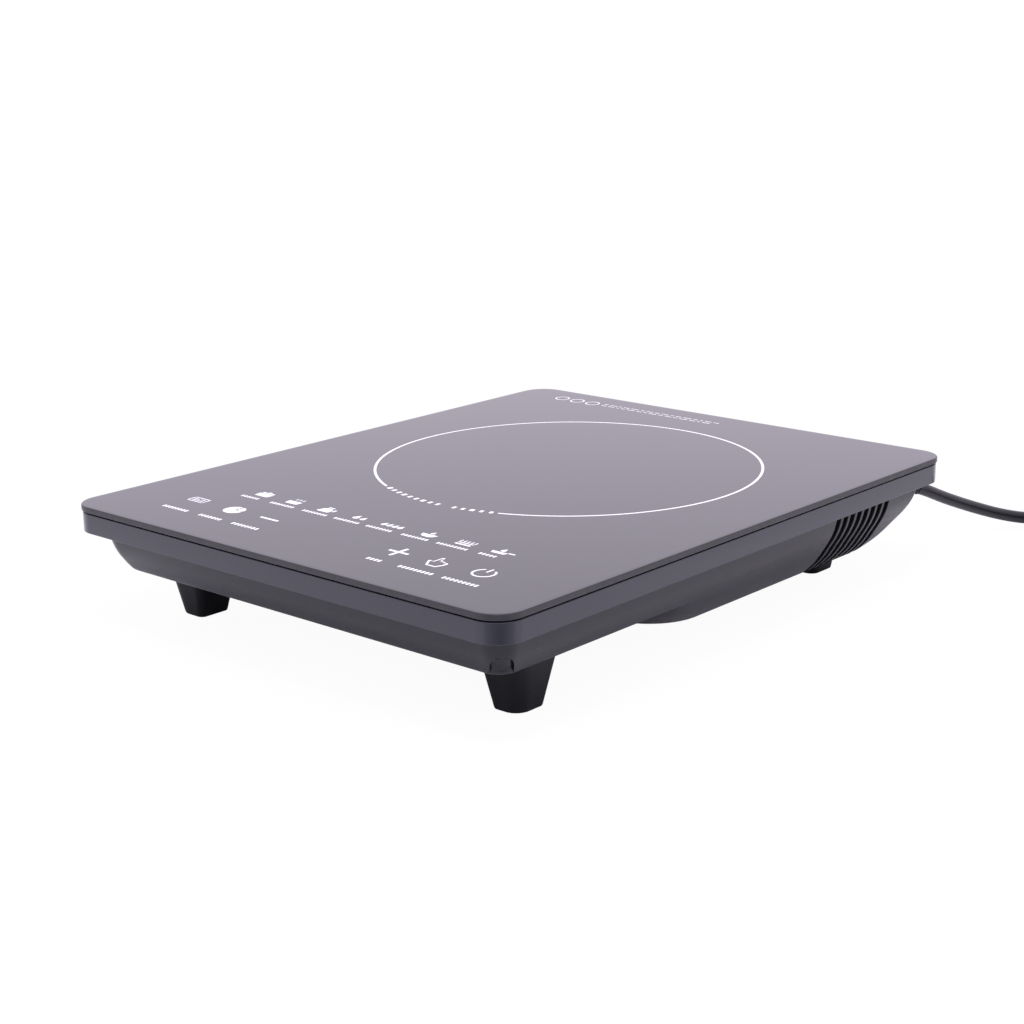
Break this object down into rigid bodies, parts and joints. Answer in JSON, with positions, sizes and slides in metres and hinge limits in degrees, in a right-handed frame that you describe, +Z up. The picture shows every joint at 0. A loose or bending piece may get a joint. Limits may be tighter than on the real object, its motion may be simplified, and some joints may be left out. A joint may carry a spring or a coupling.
{
  "type": "portable induction cooktop",
  "caption": "Low rectangular tabletop induction cooktop with a glass cooking plate over a deep rear housing, printed touch controls, moulded feet, cooling fan and mains lead.",
  "frame": {"origin": "centre of the glass plate's footprint, on the surface that the feet stand on", "axes": "+Z up, +Y from the control edge at the front towards the rear where the mains lead leaves, +X to the right for a person standing at the controls"},
  "size_m": [0.4121, 0.4938, 0.06],
  "materials": {
    "glass_black": "polished black glass-ceramic, opaque",
    "seal_black": "matt adhesive foam",
    "frame_black": "glossy injection-moulded ABS",
    "tub_black": "glossy injection-moulded ABS",
    "foot_black": "satin rubber",
    "screw_steel": "zinc-plated",
    "carrier_plastic": "heat-resistant moulded plastic",
    "copper_litz": "lacquered copper strand",
    "ferrite": "sintered ferrite",
    "mica": "pressed mica sheet",
    "silicone": "moulded silicone",
    "fan_plastic": "glass-filled plastic",
    "board_green": "solder-masked laminate",
    "heat_sink_aluminium": "extruded aluminium",
    "package_black": "moulded epoxy",
    "capacitor_yellow": "boxed film capacitor",
    "choke_green": "coated ferrite ring",
    "terminal_plastic": "moulded polyamide",
    "spring_steel": "plated spring wire",
    "lead_sleeve": "sleeved wire",
    "cord_black": "satin PVC",
    "pin_nickel": "nickel-plated brass"
  },
  "bodies": {
    "cooktop": {"board_screw_1": "screw_steel", "board_screw_2": "screw_steel", "bridge_rectifier": "package_black", "coil_carrier": "carrier_plastic", "coil_lead_1": "lead_sleeve", "coil_lead_2": "lead_sleeve", "coil_screw_1": "screw_steel", "coil_screw_2": "screw_steel", "coil_screw_3": "screw_steel", "coil_sensor": "silicone", "control_board": "board_green", "cord_coil": "cord_black", "cord_grip": "cord_black", "cord_tail": "cord_black", "display_module": "package_black", "fan_frame": "fan_plastic", "fan_screw_1": "screw_steel", "fan_screw_2": "screw_steel", "fan_stator": "copper_litz", "ferrite_bar_1": "ferrite", "ferrite_bar_2": "ferrite", "ferrite_bar_3": "ferrite", "ferrite_bar_4": "ferrite", "ferrite_bar_5": "ferrite", "ferrite_bar_6": "ferrite", "filter_capacitor": "capacitor_yellow", "filter_choke": "choke_green", "foot_front_left": "foot_black", "foot_front_right": "foot_black", "foot_rear_left": "foot_black", "foot_rear_right": "foot_black", "glass_plate": "glass_black", "glass_seal": "seal_black", "heat_sink": "heat_sink_aluminium", "housing_screw_1": "screw_steel", "housing_screw_2": "screw_steel", "housing_screw_3": "screw_steel", "housing_screw_4": "screw_steel", "induction_coil": "copper_litz", "lower_housing": "tub_black", "main_board": "board_green", "mains_leads": "lead_sleeve", "mica_sheet": "mica", "plug_body": "cord_black", "plug_pin_1": "pin_nickel", "plug_pin_2": "pin_nickel", "power_cord": "cord_black", "power_transistor": "package_black", "resonance_capacitor": "capacitor_yellow", "ribbon_cable": "lead_sleeve", "supply_transformer": "ferrite", "terminal_block": "terminal_plastic", "touch_spring_1": "spring_steel", "touch_spring_2": "spring_steel", "touch_spring_3": "spring_steel", "touch_spring_4": "spring_steel", "touch_spring_5": "spring_steel", "touch_spring_6": "spring_steel", "upper_frame": "frame_black"},
    "fan_rotor": {"fan_rotor": "fan_plastic"}
  },
  "joints": [
    {"name": "fan_spin", "type": "hinge", "parent": "cooktop", "child": "fan_rotor", "pos_m": [-0.06, 0.072, 0.02], "axis": [0, 0, 1], "continuous": true}
  ]
}
